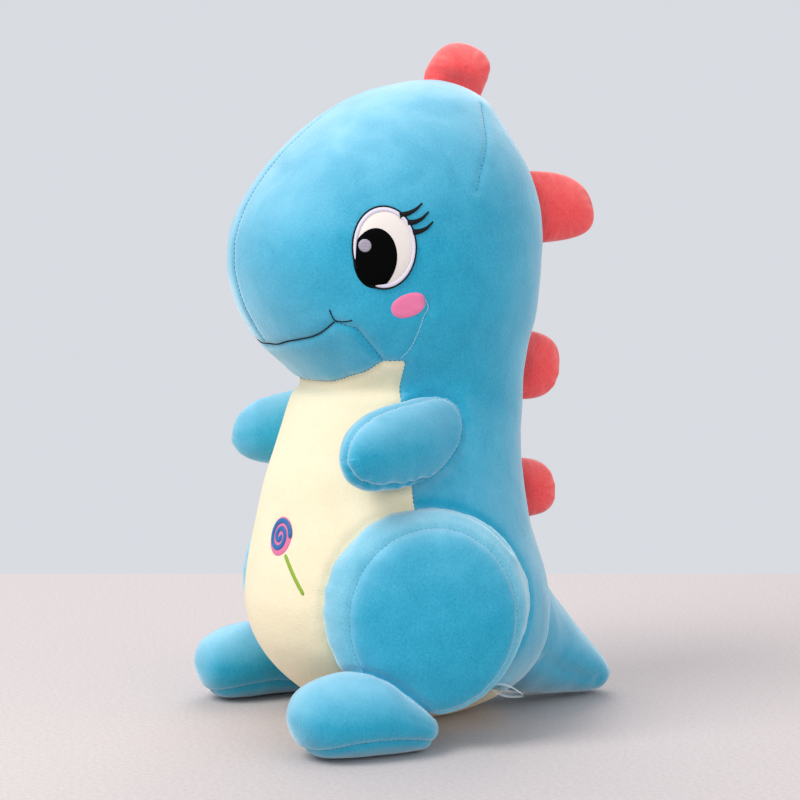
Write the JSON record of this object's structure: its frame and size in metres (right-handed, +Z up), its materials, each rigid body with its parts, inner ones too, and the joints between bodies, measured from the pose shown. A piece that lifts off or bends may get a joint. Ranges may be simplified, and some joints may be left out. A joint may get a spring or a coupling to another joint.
{
  "type": "stuffed dinosaur",
  "caption": "Sitting stuffed dinosaur in short plush with a cream belly, padded spikes, sewn-on arms and legs, a stubby tail and an embroidered face.",
  "frame": {"origin": "on the floor under the middle of the toy's box", "axes": "+Z up, -Y the way it faces, +X its own left"},
  "size_m": [0.24, 0.2788, 0.4505],
  "materials": {
    "teal_plush": "short velvet plush, matt, brushed",
    "pale_teal_plush": "short velvet plush, nap turned",
    "cream_plush": "short velvet plush",
    "coral_plush": "short velvet plush",
    "ivory_satin": "satin stitch",
    "black_thread": "satin stitch",
    "lilac_thread": "satin stitch",
    "pink_thread": "satin stitch",
    "candy_thread": "satin stitch",
    "green_thread": "satin stitch",
    "label_satin": "woven ribbon",
    "polyester_fibre": "loose fibre"
  },
  "bodies": {
    "trunk": {"body_stuffing": "polyester_fibre", "side_panel_left": "teal_plush", "side_panel_right": "teal_plush", "chin_panel": "teal_plush", "belly_panel": "cream_plush", "seat_panel": "cream_plush", "mouth_stitching": "black_thread", "lollipop_candy": "candy_thread", "lollipop_stick": "green_thread", "care_label": "label_satin", "eye_patch_left": "ivory_satin", "eye_outline_stitching_left": "black_thread", "pupil_left": "black_thread", "eye_highlight_left": "lilac_thread", "blush_patch_left": "pink_thread", "eye_patch_right": "ivory_satin", "eye_outline_stitching_right": "black_thread", "pupil_right": "black_thread", "eye_highlight_right": "lilac_thread", "blush_patch_right": "pink_thread"},
    "arm_left": {"arm_left_outer_panel": "teal_plush", "arm_left_inner_panel": "teal_plush", "arm_left_stuffing": "polyester_fibre"},
    "leg_left": {"thigh_outer_panel_left": "teal_plush", "thigh_gusset_left": "pale_teal_plush", "thigh_stuffing_left": "polyester_fibre", "foot_upper_left": "teal_plush", "foot_sole_left": "teal_plush", "foot_stuffing_left": "polyester_fibre"},
    "arm_right": {"arm_right_outer_panel": "teal_plush", "arm_right_inner_panel": "teal_plush", "arm_right_stuffing": "polyester_fibre"},
    "leg_right": {"thigh_outer_panel_right": "teal_plush", "thigh_gusset_right": "pale_teal_plush", "thigh_stuffing_right": "polyester_fibre", "foot_upper_right": "teal_plush", "foot_sole_right": "teal_plush", "foot_stuffing_right": "polyester_fibre"},
    "tail": {"tail_panel_left": "teal_plush", "tail_panel_right": "teal_plush", "tail_stuffing": "polyester_fibre"},
    "crown_spike": {"crown_spike_left": "coral_plush", "crown_spike_right": "coral_plush", "crown_spike_padding": "polyester_fibre"},
    "nape_spike": {"nape_spike_left": "coral_plush", "nape_spike_right": "coral_plush", "nape_spike_padding": "polyester_fibre"},
    "back_spike": {"back_spike_left": "coral_plush", "back_spike_right": "coral_plush", "back_spike_padding": "polyester_fibre"},
    "lower_back_spike": {"lower_back_spike_left": "coral_plush", "lower_back_spike_right": "coral_plush", "lower_back_spike_padding": "polyester_fibre"}
  },
  "joints": [
    {"name": "arm_left_swing", "type": "hinge", "parent": "trunk", "child": "arm_left", "pos_m": [0.0776, -0.03849, 0.19], "axis": [-0.9557, 0.1701, -0.2402], "range_deg": [-25, 35], "stiffness_Nm_per_rad": 0.5},
    {"name": "arm_right_swing", "type": "hinge", "parent": "trunk", "child": "arm_right", "pos_m": [-0.0776, -0.03849, 0.19], "axis": [-0.9557, -0.1701, 0.2402], "range_deg": [-25, 35], "stiffness_Nm_per_rad": 0.5},
    {"name": "leg_left_swing", "type": "hinge", "parent": "trunk", "child": "leg_left", "pos_m": [0.097, -0.04999, 0.084], "axis": [-0.9563, 0.2924, 0], "range_deg": [-4, 20], "stiffness_Nm_per_rad": 1.5},
    {"name": "leg_right_swing", "type": "hinge", "parent": "trunk", "child": "leg_right", "pos_m": [-0.097, -0.04999, 0.084], "axis": [-0.9563, -0.2924, 0], "range_deg": [-4, 20], "stiffness_Nm_per_rad": 1.5},
    {"name": "tail_swing", "type": "hinge", "parent": "trunk", "child": "tail", "pos_m": [0, 0.06351, 0.03], "axis": [0, 0, 1], "range_deg": [-15, 15], "stiffness_Nm_per_rad": 0.6},
    {"name": "crown_spike_flop", "type": "hinge", "parent": "trunk", "child": "crown_spike", "pos_m": [0, 0.01678, 0.42238], "axis": [0, -0.9511, 0.309], "range_deg": [-22, 22], "stiffness_Nm_per_rad": 0.02},
    {"name": "nape_spike_flop", "type": "hinge", "parent": "trunk", "child": "nape_spike", "pos_m": [0, 0.07495, 0.34056], "axis": [0, -0.225, 0.9744], "range_deg": [-22, 22], "stiffness_Nm_per_rad": 0.02},
    {"name": "back_spike_flop", "type": "hinge", "parent": "trunk", "child": "back_spike", "pos_m": [0, 0.06529, 0.2337], "axis": [0, 0.1219, 0.9925], "range_deg": [-22, 22], "stiffness_Nm_per_rad": 0.02},
    {"name": "lower_back_spike_flop", "type": "hinge", "parent": "trunk", "child": "lower_back_spike", "pos_m": [0, 0.06399, 0.1483], "axis": [0, -0.1219, 0.9925], "range_deg": [-22, 22], "stiffness_Nm_per_rad": 0.02}
  ]
}
